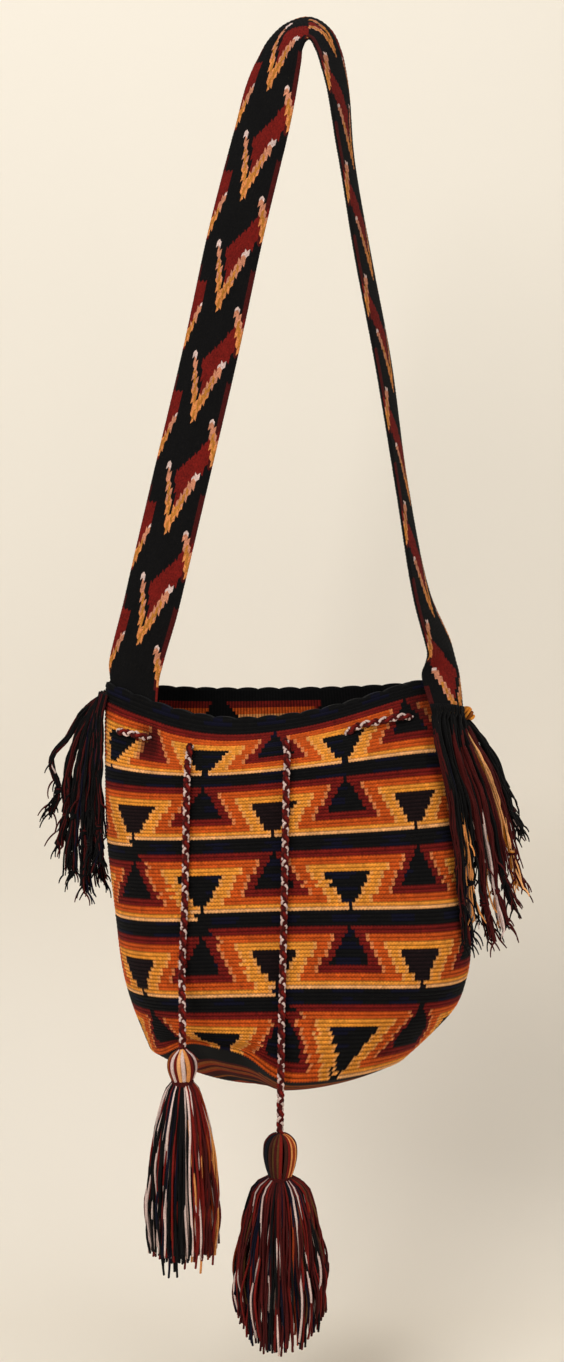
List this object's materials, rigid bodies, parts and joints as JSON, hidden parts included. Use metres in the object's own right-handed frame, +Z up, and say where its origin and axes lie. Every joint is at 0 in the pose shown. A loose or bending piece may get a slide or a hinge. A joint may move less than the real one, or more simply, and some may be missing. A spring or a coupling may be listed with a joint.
{
  "type": "crochet crossbody bag",
  "caption": "Crocheted bucket bag with a wide woven strap, a drawcord threaded round its rim, hanging tassels and yarn fringes.",
  "frame": {"origin": "middle of the underside of the strap's crown, where a hook or a shoulder carries the bag", "axes": "+Z up the hanging bag, -Y towards the front with the two tassels, +X to the viewer's right of the front"},
  "size_m": [0.3905, 0.1824, 1.0265],
  "materials": {
    "crochet_wall": "tight single crochet in cotton yarn",
    "woven_strap": "flat woven yarn band",
    "drawcord_yarn": "round braided yarn",
    "tassel_yarn": "loose cut yarn",
    "binding_yarn": "wound yarn",
    "fringe_yarn": "loose knotted yarn"
  },
  "bodies": {
    "bag": {"bag_body": "crochet_wall", "strap": "woven_strap", "drawcord_rim": "drawcord_yarn", "fringe_left_1": "fringe_yarn", "fringe_left_2": "fringe_yarn", "fringe_left_3": "fringe_yarn", "fringe_left_4": "fringe_yarn", "fringe_left_5": "fringe_yarn", "fringe_left_6": "fringe_yarn", "fringe_left_7": "fringe_yarn", "fringe_right_1": "fringe_yarn", "fringe_right_2": "fringe_yarn", "fringe_right_3": "fringe_yarn", "fringe_right_4": "fringe_yarn", "fringe_right_5": "fringe_yarn", "fringe_right_6": "fringe_yarn", "fringe_right_7": "fringe_yarn"},
    "left_cord": {"drawcord_left": "drawcord_yarn"},
    "left_tassel": {"tassel_left": "tassel_yarn", "tassel_left_binding": "binding_yarn"},
    "right_cord": {"drawcord_right": "drawcord_yarn"},
    "right_tassel": {"tassel_right": "tassel_yarn", "tassel_right_binding": "binding_yarn"}
  },
  "joints": [
    {"name": "left_cord_swing", "type": "hinge", "parent": "bag", "child": "left_cord", "pos_m": [-0.0939, -0.0399, -0.5714], "axis": [-1, 0, 0], "range_deg": [0, 60]},
    {"name": "left_tassel_swing", "type": "hinge", "parent": "left_cord", "child": "left_tassel", "pos_m": [-0.0962, -0.101, -0.8049], "axis": [-1, 0, 0], "range_deg": [0, 45]},
    {"name": "right_cord_swing", "type": "hinge", "parent": "bag", "child": "right_cord", "pos_m": [-0.0196, -0.0431, -0.5667], "axis": [-1, 0, 0], "range_deg": [0, 60]},
    {"name": "right_tassel_swing", "type": "hinge", "parent": "right_cord", "child": "right_tassel", "pos_m": [-0.0238, -0.095, -0.8693], "axis": [-1, 0, 0], "range_deg": [-30, 45]}
  ]
}
